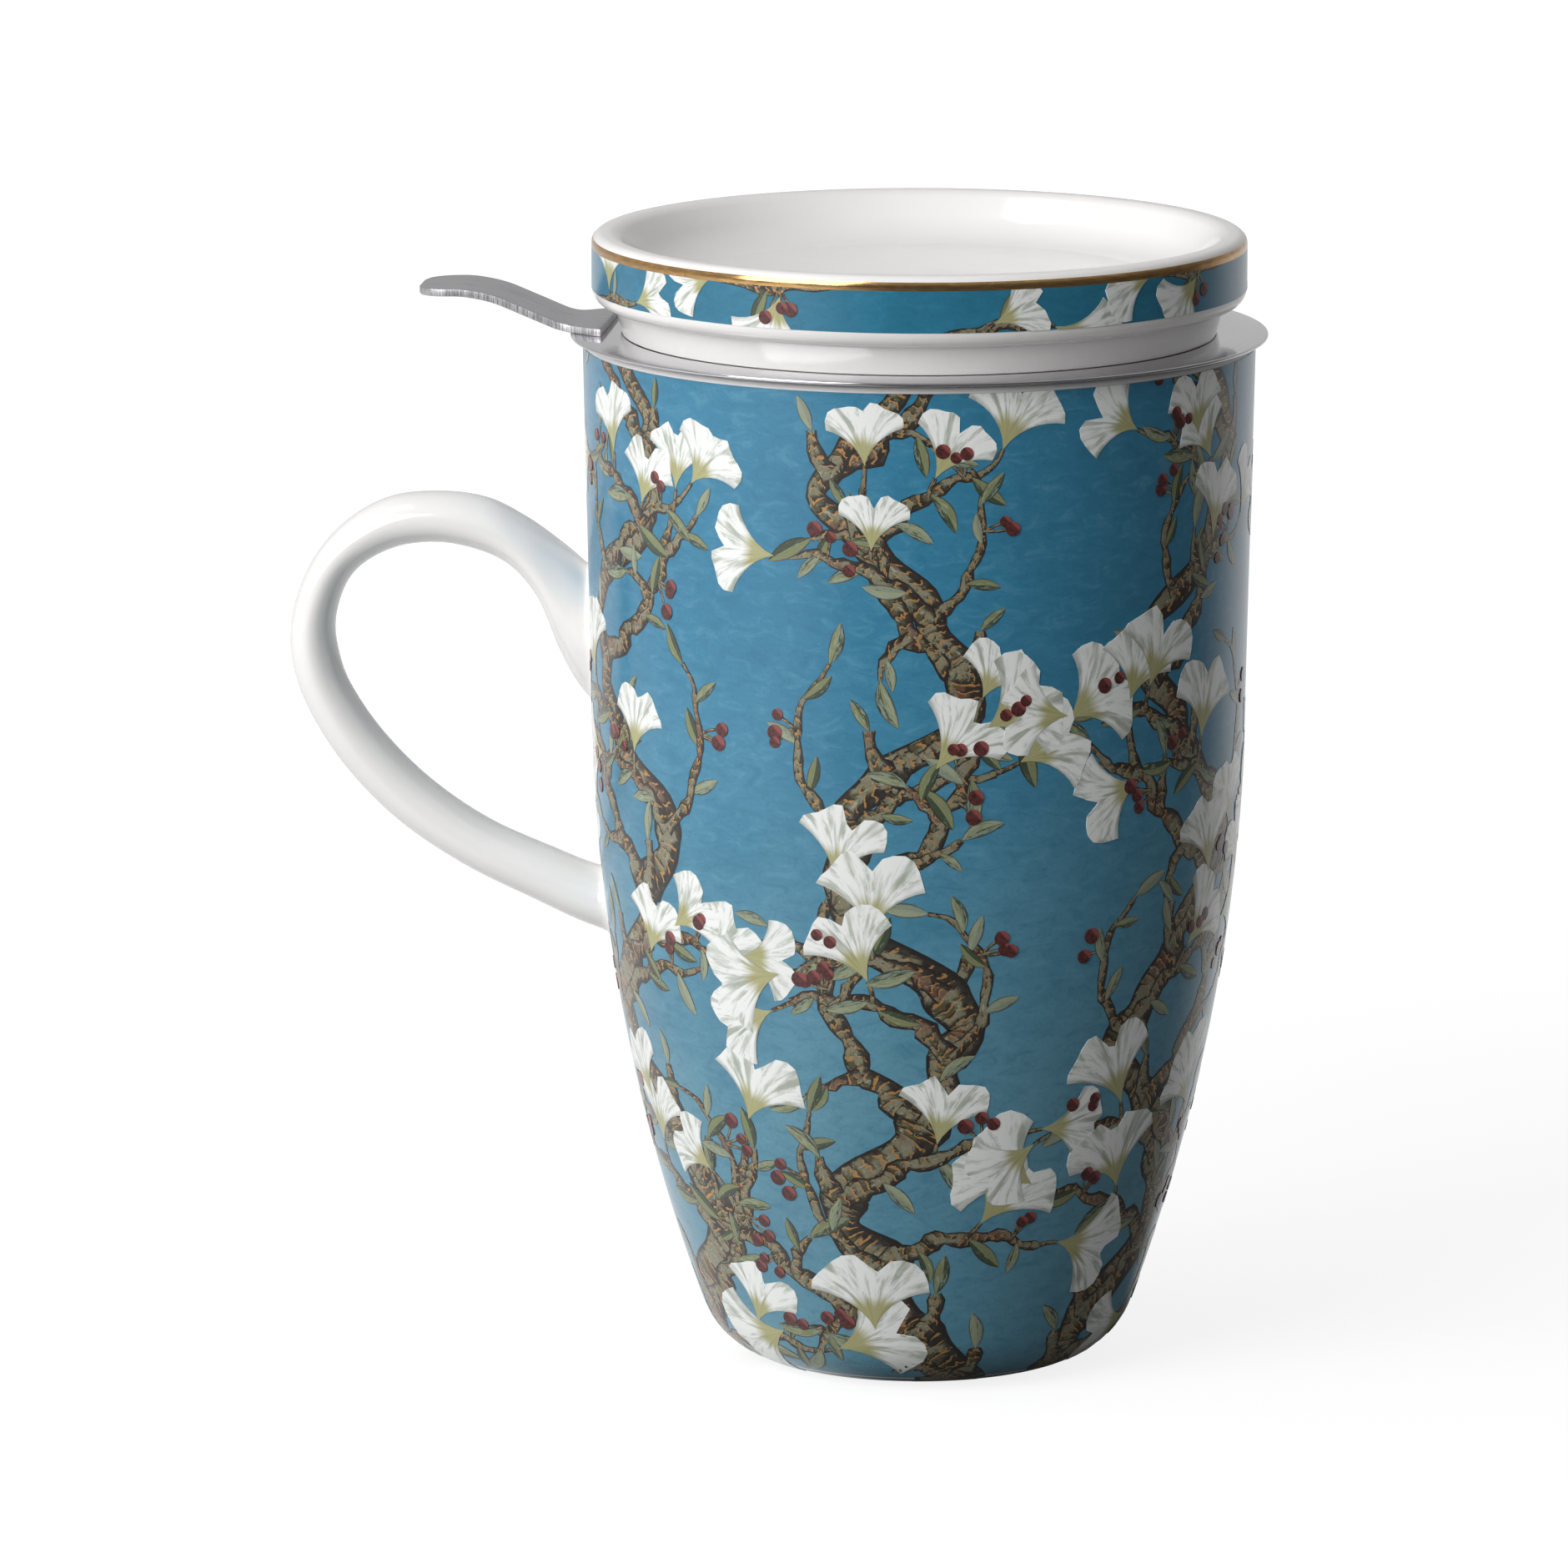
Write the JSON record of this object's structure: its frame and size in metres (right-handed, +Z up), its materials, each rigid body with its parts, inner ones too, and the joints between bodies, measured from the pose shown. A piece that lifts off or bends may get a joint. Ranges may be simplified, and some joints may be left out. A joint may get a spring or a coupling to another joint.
{
  "type": "lidded tea mug with infuser",
  "caption": "Tall porcelain tea mug with an ear handle, a lift-out stainless steel infuser basket hung by a wide rim with a tab, and a loose lid with a dished top and printed bands.",
  "frame": {"origin": "middle of the mug's foot ring, on the plane it stands on", "axes": "+Z up along the mug's axis, -X along the ear handle and the infuser's tab, Y across them"},
  "size_m": [0.1292, 0.0914, 0.15],
  "materials": {
    "mug_porcelain": "clear glossy glaze on white porcelain",
    "mug_print": "glossy glaze over a printed transfer on a teal blue ground",
    "lid_porcelain": "clear glossy glaze on white porcelain",
    "lid_print": "glossy glaze over a printed transfer on a teal blue ground",
    "gold_line": "burnished gold line fired on the glaze",
    "infuser_steel": "stainless steel sheet, finely brushed, punched edges bright"
  },
  "bodies": {
    "mug": {"mug_body": "mug_porcelain", "mug_handle": "mug_porcelain", "mug_print": "mug_print"},
    "infuser": {"infuser_rim": "infuser_steel", "infuser_wall": "infuser_steel", "infuser_floor": "infuser_steel", "infuser_tab": "infuser_steel"},
    "lid": {"lid_body": "lid_porcelain", "lid_print": "lid_print", "lid_gold_line": "gold_line"}
  },
  "joints": [
    {"name": "infuser_lift", "type": "slide", "parent": "mug", "child": "infuser", "axis": [0, 0, 1], "range_m": [0, 0.09]},
    {"name": "lid_lift", "type": "slide", "parent": "infuser", "child": "lid", "axis": [0, 0, 1], "range_m": [0, 0.04]}
  ]
}
